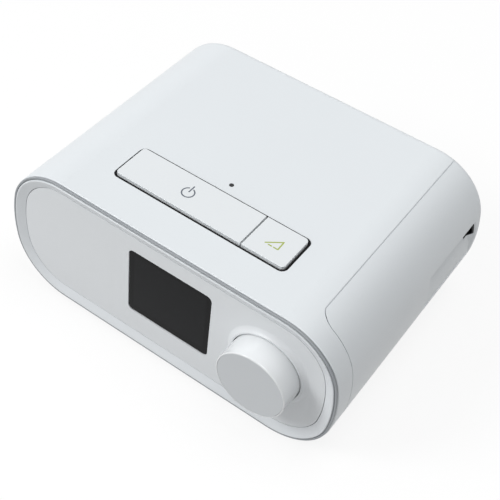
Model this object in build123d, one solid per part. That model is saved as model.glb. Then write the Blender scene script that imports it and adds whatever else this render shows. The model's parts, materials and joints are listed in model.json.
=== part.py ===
from build123d import *
import os
from math import asin, cos, sin, pi, radians, sqrt

# Bench-top positive airway pressure machine.
# Frame: +X to the right, the front faces -Y, +Z up, origin under the middle on the table.

# ---------------------------------------------------------------- driving dimensions (mm)
WIDTH = 193.0
DEPTH = 157.0
HEIGHT = 84.6
FOOT_STAND = 2.2
BUTTON_PROUD = 1.4
DIAL_PROUD = 12.6
WALL = 2.5
CORNER_RADIUS = 32.0
SIDE_RADIUS = 80.0
REAR_ROUND = 3.6
FRONT_ROUND = 0.5
REAR_LIP = 6.4
SEAM = 0.3
RUNNING = 0.05
PRESSED = 0.02

# levels that follow from them
HALF_WIDTH = WIDTH / 2
DIAL_FACE_Y = -DEPTH / 2
REAR_Y = DEPTH / 2
RIM_Y = DIAL_FACE_Y + DIAL_PROUD
SHELL_FRONT_Y = RIM_Y + 1.6
PANEL_Y = RIM_Y + 2.0
PANEL_BACK_Y = PANEL_Y + 3.7
TOP_Z = HEIGHT - BUTTON_PROUD
HALF_HEIGHT = (TOP_Z - FOOT_STAND) / 2
MID_Z = FOOT_STAND + HALF_HEIGHT
SPLIT_Z = 8.5
CEILING_Z = TOP_Z - WALL

# case posts and feet, seen from above
CASE_POSTS = [(-72.0, -46.0), (-72.0, 62.0), (58.0, -46.0), (58.0, 66.0)]
POST_R = 3.6
SCREW_R = 1.4
FEET = [(-44.0, -46.0), (44.0, -46.0), (-44.0, 56.0), (44.0, 56.0)]
FOOT_R = 8.0
FOOT_SINK = 1.0
VENT_W = 2.5
VENT_PITCH = 6

# trim ring and dished bezel, as distances in from the outline
RING_OUTER = 0.35
RING_INNER = 1.4
RING_FRONT_Y = RIM_Y + 0.35
RING_WEB_Y = RIM_Y + 0.9
RING_BACK_Y = RIM_Y + 1.25
SPIGOT_OUTER = WALL + 0.3
SPIGOT_INNER = 3.5
SPIGOT_BACK_Y = RIM_Y + 6.0
BEZEL_EDGE = 1.75
BEZEL_SHOULDER = 3.75
BEZEL_T = 0.8
BEZEL_ROUND = 0.45
DISH_START = 2.5
DISH_END = 6.9
PANEL_GAP = 0.3

# screen on the front panel
SCREEN_X = 1.65
SCREEN_Z = 45.2
SCREEN_W = 48.5
SCREEN_H = 43.2
SCREEN_CORNER = 3.0
SCREEN_GAP = 0.12
SCREEN_SINK = 0.4
LCD_MARGIN = 2.6
UI_BOARD_Y = RIM_Y + 10.4

# dial on the front panel
DIAL_X = 58.8
DIAL_Z = 45.6
DIAL_R = 18.6
CAP_R = 17.9
CAP_GAP = 0.1
CAP_T = 1.15
DIAL_WALL = 2.4
DIAL_SPOKE = 1.6
COLLAR_R = 24.2
COLLAR_TOP_R = 19.8
COLLAR_RISE = 2.0
DIAL_GAP = 0.4
DIAL_POCKET = 1.6
ENCODER_HALF = 7.0
BUSHING_R = 4.6
PLUNGER_R = 3.7
SHAFT_R = 3.0

# button slot in the top
SLOT_LEFT_X = -50.5
SLOT_RIGHT_X = 49.3
SLOT_FRONT_Y = -43.7
SLOT_REAR_Y = -18.5
SLOT_DIVIDER_X = 24.3
SLOT_CORNER = 3.6
BUTTON_GAP = 1.5
BUTTON_REAR_GAP = 1.6
BUTTON_DIVIDER = 0.8
BUTTON_TRAVEL = 0.8
PLATE_T = 0.35
GROOVE_H = 0.65
GROOVE_DEPTH = 0.9
FLANGE_REACH = 0.8
GASKET_SINK = 0.25
GASKET_CLEAR = 0.35
SENSOR_X = -1.5
SENSOR_Y = -12.7
SENSOR_R = 1.2
BUTTON_MID_Y = (SLOT_FRONT_Y + SLOT_REAR_Y) / 2
BUTTON_POST_X = 55.0
ON_OFF_DOMES = (-32.0, 6.0)
RAMP_DOMES = (37.3,)
DOME_TOP_Z = 76.4

# lift-up door on the right side
DOOR_FRONT_Y = -52.4
DOOR_EDGE_X = 74.0
DOOR_CORNER = 6.0
HINGE_X = 69.0
HINGE_Z = 77.1
HINGE_PIN_R = 1.25
HINGE_KNUCKLE_R = 2.7
HINGE_LUG_T = 3.5
HINGE_STATIONS = (-30.0, 46.0)
HINGE_ARM = 8.0
HINGE_NECK = (7.0, 9.5)
HINGE_NECK_ANGLES = (-96, 14)
HINGE_ROOT = (1.8, 9.0)
HINGE_ROOT_ANGLES = (-96, -70)

# finger scoop and air intake in the door
SCOOP_FRONT_Y = 20.5
SCOOP_REAR_Y = 71.0
SCOOP_REAR_SLANT = 1.93
SCOOP_LIP_Z = 56.5
SCOOP_FLOOR_R = 44.7
SCOOP_FOOT_Z = 33.5
SCOOP_FOOT_SINK = 0.75
SCOOP_WALL = 2.0
INTAKE_X = 84.0
INTAKE_FRONT_Y = 63.5
INTAKE_REAR_Y = 71.3
INTAKE_LOW_Z = 47.0
INTAKE_SKIN = 0.6
LINER_T = 0.5
BLOCK_T = 1.6
SLIT_ROWS = 4
SLIT_PITCH = 2.2
SLIT_H = 1.0

# bay behind the door
BAY_X = 80.0
BAY_T = 2.0
BAY_Y = (-49.0, 70.0)
BAY_TOP_Z = 70.0
BAY_LOW_Z = 12.5
FILTER_X = 62.0
FILTER_Y = (6.0, 50.0)
FILTER_Z = (20.0, 62.0)
FILTER_WALL = 1.6
FILTER_BORDER = 5.0
FRAME_GAP = 0.3
FRAME_BORDER = 3.0
CARD_Y = (-40.0, -15.6)
CARD_Z = 40.0
CARD_T = 2.1

# rear ports
OUTLET_X = -24.0
OUTLET_Z = 47.0
OUTLET_R = 11.0
OUTLET_ROOT_R = 10.7
OUTLET_ROOT = 5.0
OUTLET_BORE = 9.4
OUTLET_LENGTH = 20.0
OUTLET_WELL_R = 17.0
POWER_X = 44.0
POWER_Z = 24.0
POWER_BORE = 3.75
LINK_X = 14.0
LINK_Z = 21.0
LINK_W = 34.0
LINK_H = 18.0
LINK_HALF = 13.0
LINK_HINGE_Z = LINK_Z - LINK_H / 2 + 1.4
LINK_HINGE_Y = REAR_Y - 1.6
LINK_HINGE_INSET = 3.2
LINK_PIN_R = 0.6

# blower and air path
BLOWER_X = -48.0
BLOWER_Y = 4.0
BLOWER_R = 36.6
BLOWER_WALL = 2.0
BLOWER_FLOOR_Z = 14.0
BLOWER_JOINT_Z = 35.0
BLOWER_TOP_Z = 58.0
BLOWER_PAD_REACH = 21.0
BLOWER_POSTS = [(BLOWER_X + i * BLOWER_PAD_REACH, BLOWER_Y + j * BLOWER_PAD_REACH)
                for i in (-1, 1) for j in (-1, 1)]
IMPELLER_R = 31.0
BLADES = 11
STATOR_TEETH = 9
MOTOR_SHAFT_R = 2.0
BEARING_R = 4.0
TUBE_END_Y = 50.0
DUCT_X = (6.0, 60.0)
DUCT_Y = (4.0, 52.0)
DUCT_Z = (27.0, 65.0)
DUCT_WALL = 1.8

# boards
BOARD_T = 1.6
MAIN_BOARD_Z = 12.0
BUTTON_BOARD_Z = 72.3
BOARD_POSTS = [(2.0, -38.0), (62.0, -30.0), (0.5, 47.0), (62.0, 44.0)]
CAPACITORS = [(10, -18, 6.3, 20), (25, -34, 5.0, 16), (10, -2.5, 4.0, 12)]
CHIPS = [(36, 20, 12, 12, 1.6), (16, 14, 8, 10, 2), (54, 26, 6, 9, 2.5), (22, 34, 14, 5, 6),
         (56, -38, 10, 6, 7), (30, 46, 8, 8, 3), (4, 24, 5, 7, 4)]


# ---------------------------------------------------------------- geometry helpers
def span(x0, x1, y0, y1, z0, z1):
    """Box between two corners."""
    centre = Pos((x0 + x1) / 2, (y0 + y1) / 2, (z0 + z1) / 2)
    return centre * Box(x1 - x0, y1 - y0, z1 - z0)


def rod_z(x, y, radius, z0, z1):
    return Pos(x, y, (z0 + z1) / 2) * Cylinder(radius, z1 - z0)


def rod_y(x, z, radius, y0, y1):
    return Pos(x, (y0 + y1) / 2, z) * Rot(90, 0, 0) * Cylinder(radius, y1 - y0)


def rod_x(y, z, radius, x0, x1):
    return Pos((x0 + x1) / 2, y, z) * Rot(0, 90, 0) * Cylinder(radius, x1 - x0)


def tube_z(x, y, outer, inner, z0, z1):
    return rod_z(x, y, outer, z0, z1) - rod_z(x, y, inner, z0 - 1, z1 + 1)


def tube_y(x, z, outer, inner, y0, y1):
    return rod_y(x, z, outer, y0, y1) - rod_y(x, z, inner, y0 - 1, y1 + 1)


def group(solids):
    """Separate solids kept together in one node."""
    return Compound(children=[solid for solid in solids])


def body_outline(inset):
    """Rounded outline of the machine seen from the front: flat top, three-arc ends."""
    lean = asin((HALF_HEIGHT - CORNER_RADIUS) / (SIDE_RADIUS - CORNER_RADIUS))
    side_x = HALF_WIDTH - SIDE_RADIUS
    corner_x = side_x + (SIDE_RADIUS - CORNER_RADIUS) * cos(lean)
    corner_z = HALF_HEIGHT - CORNER_RADIUS
    corner_r = CORNER_RADIUS - inset
    side_r = SIDE_RADIUS - inset
    middle = (pi / 2 + lean) / 2
    flat = (corner_x, HALF_HEIGHT - inset)
    bend = (corner_x + corner_r * cos(middle), corner_z + corner_r * sin(middle))
    join = (side_x + side_r * cos(lean), side_r * sin(lean))
    tip = (HALF_WIDTH - inset, 0)

    def mirrored(point, sign_x, sign_z):
        return (point[0] * sign_x, point[1] * sign_z)

    curves = []
    for side in (1, -1):
        upper = [mirrored(point, side, 1) for point in (flat, bend, join)]
        lower = [mirrored(point, side, -1) for point in (flat, bend, join)]
        curves.append(ThreePointArc(*upper))
        curves.append(ThreePointArc(upper[2], mirrored(tip, side, 1), lower[2]))
        curves.append(ThreePointArc(lower[2], lower[1], lower[0]))
    for level in (1, -1):
        curves.append(Line(mirrored(flat, -1, level), mirrored(flat, 1, level)))
    return Plane.XZ * make_face(Curve() + curves)


def slab(inset, y_front, y_rear):
    """Solid with the machine's outline, from y_front back to y_rear."""
    return Pos(0, y_rear, MID_Z) * extrude(body_outline(inset), y_rear - y_front)


def band(inset_outer, inset_inner, y_front, y_rear):
    return slab(inset_outer, y_front, y_rear) - slab(inset_inner, y_front - 1, y_rear + 1)


def rounded_block(x0, x1, y0, y1, z0, z1, radius, axis=Axis.Z):
    """Block whose edges along one axis are rounded."""
    block = span(x0, x1, y0, y1, z0, z1)
    return fillet(block.edges().filter_by(axis), radius)


# ---------------------------------------------------------------- housing shell
def housing_body():
    body = slab(0, SHELL_FRONT_Y, REAR_Y)
    rear_edges = body.faces().sort_by(Axis.Y)[-1].edges()
    body = fillet(rear_edges, REAR_ROUND)
    front_edges = body.faces().sort_by(Axis.Y)[0].edges()
    return fillet(front_edges, FRONT_ROUND)


def housing_shell():
    cavity = slab(WALL, SHELL_FRONT_Y - 1, REAR_Y - WALL)
    mouth = slab(REAR_LIP, REAR_Y - 2 * WALL, REAR_Y + 1)
    return housing_body() - cavity - mouth


def door_region(grow):
    """Everything swept by the door's outline about its hinge line, grown by the seam."""
    edge = sqrt((DOOR_EDGE_X - HINGE_X) ** 2 + (surface_z(DOOR_EDGE_X) - HINGE_Z) ** 2) - grow
    front = DOOR_FRONT_Y - grow
    reach = 2 * HALF_HEIGHT + WALL
    centre = ((edge + reach) / 2 + HINGE_X, (front + DEPTH) / 2)
    sheet = Pos(centre[0], centre[1]) * Rectangle(reach - edge, DEPTH - front)
    corner = sheet.vertices().sort_by(Axis.Y)[:2].sort_by(Axis.X)[0]
    sheet = fillet(corner, DOOR_CORNER + grow)
    hinge_line = Axis((HINGE_X, 0, HINGE_Z), (0, 1, 0))
    swept = revolve(Pos(0, 0, HINGE_Z) * sheet, hinge_line, 360)
    right_side = span(HINGE_X, WIDTH, -DEPTH, DEPTH, SPLIT_Z + SEAM - grow, 2 * HEIGHT)
    return swept & right_side


def surface_z(x):
    """Height of the outer top surface at x on the rounded shoulder."""
    lean = asin((HALF_HEIGHT - CORNER_RADIUS) / (SIDE_RADIUS - CORNER_RADIUS))
    corner_x = HALF_WIDTH - SIDE_RADIUS + (SIDE_RADIUS - CORNER_RADIUS) * cos(lean)
    return MID_Z + HALF_HEIGHT - CORNER_RADIUS + sqrt(CORNER_RADIUS ** 2 - (x - corner_x) ** 2)


def button_slot(z0, z1):
    return rounded_block(SLOT_LEFT_X, SLOT_RIGHT_X, SLOT_FRONT_Y, SLOT_REAR_Y, z0, z1, SLOT_CORNER)


def top_cover():
    above = span(-WIDTH, WIDTH, -DEPTH, DEPTH, SPLIT_Z, 2 * HEIGHT)
    cover = (housing_shell() & above) - door_region(SEAM)
    cover -= button_slot(CEILING_Z - 2, HEIGHT)
    cover -= rod_z(SENSOR_X, SENSOR_Y, SENSOR_R + RUNNING, CEILING_Z - 2, HEIGHT)
    body = slab(WALL / 2, SHELL_FRONT_Y + 2, REAR_Y - WALL)
    for x, y in CASE_POSTS:
        post = rod_z(x, y, POST_R, SPLIT_Z + 4, HEIGHT) & body
        cover += post - rod_z(x, y, SCREW_R, 0, SPLIT_Z + 20)
    for x in (-BUTTON_POST_X, BUTTON_POST_X):
        cover += rod_z(x, BUTTON_MID_Y, 3.0, BUTTON_BOARD_Z + BOARD_T, CEILING_Z + 1)
    knuckle_half = HINGE_ARM / 2 + SEAM
    for y in HINGE_STATIONS:
        for side in (-1, 1):
            y0, y1 = sorted((y + side * knuckle_half, y + side * (knuckle_half + HINGE_LUG_T)))
            lug = rod_y(HINGE_X, HINGE_Z, HINGE_KNUCKLE_R, y0, y1)
            web = span(HINGE_X - HINGE_KNUCKLE_R, HINGE_X + HINGE_KNUCKLE_R, y0, y1, HINGE_Z, CEILING_Z)
            cover += lug + web
        cover -= rod_y(HINGE_X, HINGE_Z, HINGE_PIN_R, y - HINGE_ARM - 1, y + HINGE_ARM + 1)
    return cover


def vent_slots():
    """Row of air slots through the floor under the power board."""
    return [rounded_block(x, x + VENT_W, 20, 44, 0, SPLIT_Z, VENT_W / 2 - RUNNING)
            for x in range(10, 50, VENT_PITCH)]


def bottom_case():
    below = span(-WIDTH, WIDTH, -DEPTH, DEPTH, 0, SPLIT_Z - SEAM)
    case = housing_shell() & below
    floor_z = FOOT_STAND + WALL
    for x, y in FEET:
        case += rod_z(x, y, FOOT_R + 1.5, FOOT_STAND, floor_z + 0.6)
        case -= rod_z(x, y, FOOT_R + 0.1, 0, FOOT_STAND + FOOT_SINK)
    for x, y in CASE_POSTS:
        boss = rod_z(x, y, POST_R + 1.6, floor_z - 1.2, SPLIT_Z + 3.6)
        case += boss & slab(1.0, SHELL_FRONT_Y + 2, REAR_Y - 3)
        case -= rod_z(x, y, SCREW_R + 0.2, 0, HEIGHT / 2)
        case -= rod_z(x, y, 3.2, 0, SPLIT_Z)
    for x, y in BOARD_POSTS:
        case += rod_z(x, y, 3.0, floor_z - 1, MAIN_BOARD_Z)
        case -= rod_z(x, y, 1.0, SPLIT_Z - 1, MAIN_BOARD_Z + 1)
    for x, y in BLOWER_POSTS:
        case += rod_z(x, y, 3.0, floor_z - 1, BLOWER_FLOOR_Z - 4)
    for slot in vent_slots():
        case -= slot
    return case


def rear_panel():
    plate = slab(REAR_LIP + 0.4, REAR_Y - WALL - 0.4, REAR_Y)
    flange = slab(WALL + 0.7, REAR_Y - WALL - 2.8, REAR_Y - WALL - 0.4)
    above_tray = span(-WIDTH, WIDTH, 0, DEPTH, SPLIT_Z + 4.5, HEIGHT)
    panel = plate + (flange & above_tray)
    for x, y in CASE_POSTS:
        panel -= rod_z(x, y, POST_R + 2.0, 0, HEIGHT)
    well_front = REAR_Y - OUTLET_LENGTH
    panel += rod_y(OUTLET_X, OUTLET_Z, OUTLET_WELL_R + 1.6, well_front - 1.6, REAR_Y - WALL)
    panel -= rod_y(OUTLET_X, OUTLET_Z, OUTLET_WELL_R, well_front - 0.1, REAR_Y + 1)
    panel -= rod_y(OUTLET_X, OUTLET_Z, OUTLET_R + 0.1, well_front - 5, REAR_Y + 1)
    panel -= rod_y(POWER_X, POWER_Z, 5.6, REAR_Y - 12, REAR_Y + 1)
    door_cut = span(LINK_X - LINK_W / 2 - 0.4, LINK_X + LINK_W / 2 + 0.4, REAR_Y - 2.2, REAR_Y + 1,
                    LINK_Z - LINK_H / 2 - 0.4, LINK_Z + LINK_H / 2 + 0.4)
    link_cut = span(LINK_X - 14, LINK_X + 14, REAR_Y - 12, REAR_Y, LINK_Z - 3, LINK_Z + 6)
    panel -= door_cut
    panel -= link_cut
    for x in (LINK_X - LINK_W / 2 + LINK_HINGE_INSET, LINK_X + LINK_W / 2 - LINK_HINGE_INSET):
        panel -= span(x - 2.8, x + 2.8, REAR_Y - 4.4, REAR_Y + 1, LINK_HINGE_Z - 2.0, LINK_HINGE_Z + 3.0)
    for side in (-1, 1):
        x = LINK_X + side * (LINK_W / 2 - LINK_HINGE_INSET)
        for edge in (-1, 1):
            x0, x1 = sorted((x + edge * 2.1, x + edge * 2.8))
            panel += rod_x(LINK_HINGE_Y, LINK_HINGE_Z, 1.3, x0, x1)
            panel += span(x0, x1, REAR_Y - 4.4, LINK_HINGE_Y, LINK_HINGE_Z - 1.3, LINK_HINGE_Z + 1.3)
        panel -= rod_x(LINK_HINGE_Y, LINK_HINGE_Z, LINK_PIN_R, x - 2.9, x + 2.9)
    return panel


# ---------------------------------------------------------------- lift-up side door
def scoop(grow):
    """Finger scoop: flat ceiling, floor rounding out into the side below, slanted rear end."""
    foot_x = HALF_WIDTH - SCOOP_FOOT_SINK
    centre_x = foot_x - SCOOP_FLOOR_R
    radius = SCOOP_FLOOR_R - grow
    lip_z = SCOOP_LIP_Z + grow
    rise = lip_z - SCOOP_FOOT_Z
    deep = (centre_x + sqrt(radius ** 2 - rise ** 2), lip_z)
    half = (centre_x + sqrt(radius ** 2 - (rise / 2) ** 2), SCOOP_FOOT_Z + rise / 2)
    foot = (centre_x + radius, SCOOP_FOOT_Z)
    outer = HALF_WIDTH + 4
    profile = Curve() + [ThreePointArc(foot, half, deep),
                         Polyline(deep, (outer, lip_z), (outer, SCOOP_FOOT_Z), foot)]
    channel = Pos(0, DEPTH, 0) * extrude(Plane.XZ * make_face(profile), 2 * DEPTH)
    front_y = SCOOP_FRONT_Y - grow
    slant_shift = grow * sqrt(1 + SCOOP_REAR_SLANT ** 2)

    def rear_y(x):
        return SCOOP_REAR_Y + (x - foot_x) * SCOOP_REAR_SLANT + slant_shift

    plan = Polyline((INTAKE_X, front_y), (outer, front_y), (outer, rear_y(outer)),
                    (INTAKE_X, rear_y(INTAKE_X)), (INTAKE_X, front_y))
    return channel & extrude(make_face(plan), HEIGHT)


def sector_y(x, z, inner, outer, start_deg, end_deg, y0, y1):
    """Ring sector about an axis along Y, angles from +X towards +Z."""
    def at(radius, degrees):
        return (radius * cos(radians(degrees)), radius * sin(radians(degrees)))
    middle = (start_deg + end_deg) / 2
    curves = Curve() + [
        ThreePointArc(at(outer, start_deg), at(outer, middle), at(outer, end_deg)),
        Line(at(outer, end_deg), at(inner, end_deg)),
        ThreePointArc(at(inner, end_deg), at(inner, middle), at(inner, start_deg)),
        Line(at(inner, start_deg), at(outer, start_deg)),
    ]
    return Pos(x, y1, z) * extrude(Plane.XZ * make_face(curves), y1 - y0)


def hinge_arm(y):
    """Swan-neck arm that carries the door past the edge of the top cover."""
    y0, y1 = y - HINGE_ARM / 2, y + HINGE_ARM / 2
    arm = sector_y(HINGE_X, HINGE_Z, *HINGE_NECK, *HINGE_NECK_ANGLES, y0, y1)
    arm += sector_y(HINGE_X, HINGE_Z, *HINGE_ROOT, *HINGE_ROOT_ANGLES, y0, y1)
    arm += rod_y(HINGE_X, HINGE_Z, HINGE_KNUCKLE_R, y0, y1)
    return arm - rod_y(HINGE_X, HINGE_Z, HINGE_PIN_R + RUNNING, y0 - 1, y1 + 1)


def intake_room(grow):
    """Space behind the rear end of the scoop, where the air goes in."""
    return span(INTAKE_X - grow, HALF_WIDTH, INTAKE_FRONT_Y - grow, INTAKE_REAR_Y + grow,
                INTAKE_LOW_Z - grow, SCOOP_LIP_Z + grow)


def intake_pocket():
    return intake_room(0) & slab(INTAKE_SKIN, 0, REAR_Y)


def intake_slits(grow):
    """Slits that lead from the intake into the filter space."""
    slits = []
    for row in range(SLIT_ROWS):
        z = INTAKE_LOW_Z + 2 * LINER_T + row * SLIT_PITCH
        slits.append(span(INTAKE_X - BLOCK_T - 1, INTAKE_X + 1, INTAKE_FRONT_Y + 2 * LINER_T - grow,
                          INTAKE_REAR_Y - 2 * LINER_T + grow, z - grow, z + SLIT_H + grow))
    return slits


def intake_liner():
    """Dark liner of the air intake with the slits in its inner wall."""
    liner = intake_pocket() - scoop(RUNNING)
    room = span(INTAKE_X + LINER_T, HALF_WIDTH, INTAKE_FRONT_Y + LINER_T, INTAKE_REAR_Y - LINER_T,
                INTAKE_LOW_Z + LINER_T, SCOOP_LIP_Z - LINER_T)
    liner -= room & slab(INTAKE_SKIN + LINER_T, 0, REAR_Y)
    for slit in intake_slits(0):
        liner -= slit
    return liner


def side_door():
    region = door_region(0)
    door = housing_shell() & region
    door += scoop(SCOOP_WALL) & housing_body() & region
    door += intake_room(BLOCK_T) & housing_body() & region
    door -= scoop(0)
    door -= intake_pocket()
    for slit in intake_slits(0.2):
        door -= slit
    for y in HINGE_STATIONS:
        door += hinge_arm(y)
    return door


def door_hinge_pins():
    half = HINGE_ARM / 2 + SEAM + HINGE_LUG_T
    return group([rod_y(HINGE_X, HINGE_Z, HINGE_PIN_R, y - half, y + half) for y in HINGE_STATIONS])


def side_bay():
    """Inner wall behind the door, with the filter pocket and the card slot."""
    filter_y0, filter_y1 = FILTER_Y
    filter_z0, filter_z1 = FILTER_Z
    bay = span(BAY_X - BAY_T, BAY_X, *BAY_Y, BAY_LOW_Z, BAY_TOP_Z)
    bay += span(FILTER_X - FILTER_WALL, BAY_X, filter_y0 - FILTER_WALL, filter_y1 + FILTER_WALL,
                filter_z0 - FILTER_WALL, filter_z1 + FILTER_WALL)
    bay -= span(FILTER_X, BAY_X + 1, *FILTER_Y, *FILTER_Z)
    bay -= span(FILTER_X - 3, FILTER_X + 1, filter_y0 + FILTER_BORDER, filter_y1 - FILTER_BORDER,
                filter_z0 + FILTER_BORDER, filter_z1 - FILTER_BORDER)
    bay -= span(BAY_X - 3, BAY_X + 1, CARD_Y[0] - 0.4, CARD_Y[1] + 0.4, CARD_Z - 1.5, CARD_Z + 1.5)
    for y in (BAY_Y[0] + 3, BAY_Y[1] - 4):
        foot = span(BAY_X - 12, BAY_X, y - 3, y + 3, FOOT_STAND + WALL + 0.2, BAY_LOW_Z + 2)
        bay += foot & slab(WALL + 0.4, SHELL_FRONT_Y, REAR_Y - 4)
    return bay


def filter_frame():
    """Frame of the reusable filter, with a cross-shaped grip."""
    y0, y1 = FILTER_Y[0] + FRAME_GAP, FILTER_Y[1] - FRAME_GAP
    z0, z1 = FILTER_Z[0] + FRAME_GAP, FILTER_Z[1] - FRAME_GAP
    front_x = BAY_X + 1.5
    frame = rounded_block(FILTER_X + FRAME_GAP, front_x, y0, y1, z0, z1, 2.0, Axis.X)
    frame -= span(FILTER_X - 1, BAY_X + 3, y0 + FRAME_BORDER, y1 - FRAME_BORDER,
                  z0 + FRAME_BORDER, z1 - FRAME_BORDER)
    rib_y = (y0 + y1) / 2
    rib_z = (z0 + z1) / 2
    frame += span(BAY_X, front_x, rib_y - 1, rib_y + 1, z0 + 2, z1 - 2)
    frame += span(BAY_X, front_x, y0 + 2, y1 - 2, rib_z - 1, rib_z + 1)
    return frame


def filter_pad(x0, x1):
    inset = 2 * FRAME_GAP + FRAME_BORDER
    return rounded_block(x0, x1, FILTER_Y[0] + inset, FILTER_Y[1] - inset,
                         FILTER_Z[0] + inset, FILTER_Z[1] - inset, 1.5, Axis.X)


def card_socket():
    outer = span(50, BAY_X - BAY_T - 0.3, CARD_Y[0] - 2, CARD_Y[1] + 2, CARD_Z - 3, CARD_Z + 2.6)
    return outer - span(52, BAY_X, CARD_Y[0] - 0.2, CARD_Y[1] + 0.2, CARD_Z - 1.3, CARD_Z + 1.3)


def sd_card():
    return rounded_block(52.3, BAY_X + 2.5, *CARD_Y, CARD_Z - CARD_T / 2, CARD_Z + CARD_T / 2, 1.0)


# ---------------------------------------------------------------- front
def front_trim_ring():
    """Grey ring between the bezel and the housing, with a spigot inside the housing's mouth."""
    ring = band(RING_OUTER, RING_INNER, RING_FRONT_Y, RING_BACK_Y)
    ring += band(RING_OUTER, SPIGOT_INNER, RING_WEB_Y, RING_BACK_Y)
    ring += band(SPIGOT_OUTER, SPIGOT_INNER, RING_WEB_Y, SPIGOT_BACK_Y)
    front_edges = ring.faces().sort_by(Axis.Y)[0].edges()
    return fillet(front_edges, 0.3)


def dish_cutter():
    """Tapered plug that gives the bezel its inward slope."""
    rim = Pos(0, RIM_Y, MID_Z) * body_outline(DISH_START)
    floor = Pos(0, PANEL_Y, MID_Z) * body_outline(DISH_END)
    return loft([floor.face(), rim.face()], ruled=True)


def front_bezel():
    bezel = slab(BEZEL_EDGE, RIM_Y, RIM_Y + BEZEL_T)
    bezel += slab(BEZEL_SHOULDER, RIM_Y + BEZEL_T / 2, PANEL_Y + 2.0)
    rim_edges = bezel.faces().sort_by(Axis.Y)[0].edges()
    bezel = fillet(rim_edges, BEZEL_ROUND)
    return bezel - dish_cutter() - slab(DISH_END, RIM_Y - 1, PANEL_Y + 4)


def collar():
    """Ring that flares up from the panel to the foot of the dial."""
    top = PANEL_Y - COLLAR_RISE
    start = (COLLAR_R, PANEL_Y + 0.01)
    middle = (COLLAR_TOP_R + 1.3, PANEL_Y - 0.55)
    end = (COLLAR_TOP_R, top)
    profile = Curve() + [ThreePointArc(start, middle, end),
                         Polyline(end, (DIAL_R, top), (DIAL_R, PANEL_Y + 1), (COLLAR_R, PANEL_Y + 1), start)]
    ring = revolve(make_face(profile), Axis.Y, 360)
    return Pos(DIAL_X, 0, DIAL_Z) * ring


def front_panel():
    panel = slab(DISH_END + PANEL_GAP, PANEL_Y, PANEL_Y + 2.2)
    panel += slab(5.0, PANEL_Y + 2.2, PANEL_BACK_Y)
    panel += collar()
    panel -= rod_y(DIAL_X, DIAL_Z, DIAL_R + DIAL_GAP, PANEL_Y - 5, PANEL_Y + DIAL_POCKET)
    panel -= rod_y(DIAL_X, DIAL_Z, BUSHING_R + 0.3, PANEL_Y - 5, PANEL_BACK_Y + 1)
    half_w, half_h = SCREEN_W / 2, SCREEN_H / 2
    panel -= rounded_block(SCREEN_X - half_w, SCREEN_X + half_w, PANEL_Y - 1, PANEL_Y + 2.1,
                           SCREEN_Z - half_h, SCREEN_Z + half_h, SCREEN_CORNER, Axis.Y)
    panel -= span(SCREEN_X - half_w + 2, SCREEN_X + half_w - 2, PANEL_Y, PANEL_BACK_Y + 1,
                  SCREEN_Z - half_h + 2, SCREEN_Z + half_h - 2)
    return panel


def screen_window():
    half_w, half_h = SCREEN_W / 2 - SCREEN_GAP, SCREEN_H / 2 - SCREEN_GAP
    window = rounded_block(SCREEN_X - half_w, SCREEN_X + half_w, PANEL_Y + SCREEN_SINK, PANEL_Y + 2.0,
                           SCREEN_Z - half_h, SCREEN_Z + half_h, SCREEN_CORNER - SCREEN_GAP, Axis.Y)
    return fillet(window.faces().sort_by(Axis.Y)[0].edges(), 0.25)


def lcd_module():
    half_w, half_h = SCREEN_W / 2 - LCD_MARGIN, SCREEN_H / 2 - LCD_MARGIN
    return span(SCREEN_X - half_w, SCREEN_X + half_w, PANEL_Y + 2.2, UI_BOARD_Y - 0.2,
                SCREEN_Z - half_h, SCREEN_Z + half_h)


def ui_board():
    board = rounded_block(-46, 80, UI_BOARD_Y, UI_BOARD_Y + BOARD_T, 22, 68, 3.0, Axis.Y)
    for x in (-42, 76):
        for z in (26, 64):
            board -= rod_y(x, z, 1.2, UI_BOARD_Y - 1, UI_BOARD_Y + 3)
    return board


def encoder_body():
    back = PANEL_BACK_Y + 0.2
    shell = span(DIAL_X - ENCODER_HALF, DIAL_X + ENCODER_HALF, back, UI_BOARD_Y - 0.1,
                 DIAL_Z - ENCODER_HALF, DIAL_Z + ENCODER_HALF)
    shell += rod_y(DIAL_X, DIAL_Z, BUSHING_R, RIM_Y - 1.6, back + 0.5)
    return shell - rod_y(DIAL_X, DIAL_Z, PLUNGER_R + RUNNING, RIM_Y - 2, RIM_Y + 8.9)


def encoder_plunger():
    sleeve = rod_y(DIAL_X, DIAL_Z, PLUNGER_R, RIM_Y - 2.6, RIM_Y + 7.6)
    return sleeve - rod_y(DIAL_X, DIAL_Z, SHAFT_R + RUNNING, RIM_Y - 3, RIM_Y + 7.0)


def encoder_shaft():
    return rod_y(DIAL_X, DIAL_Z, SHAFT_R, DIAL_FACE_Y + 4.5, RIM_Y + 6.9)


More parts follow.
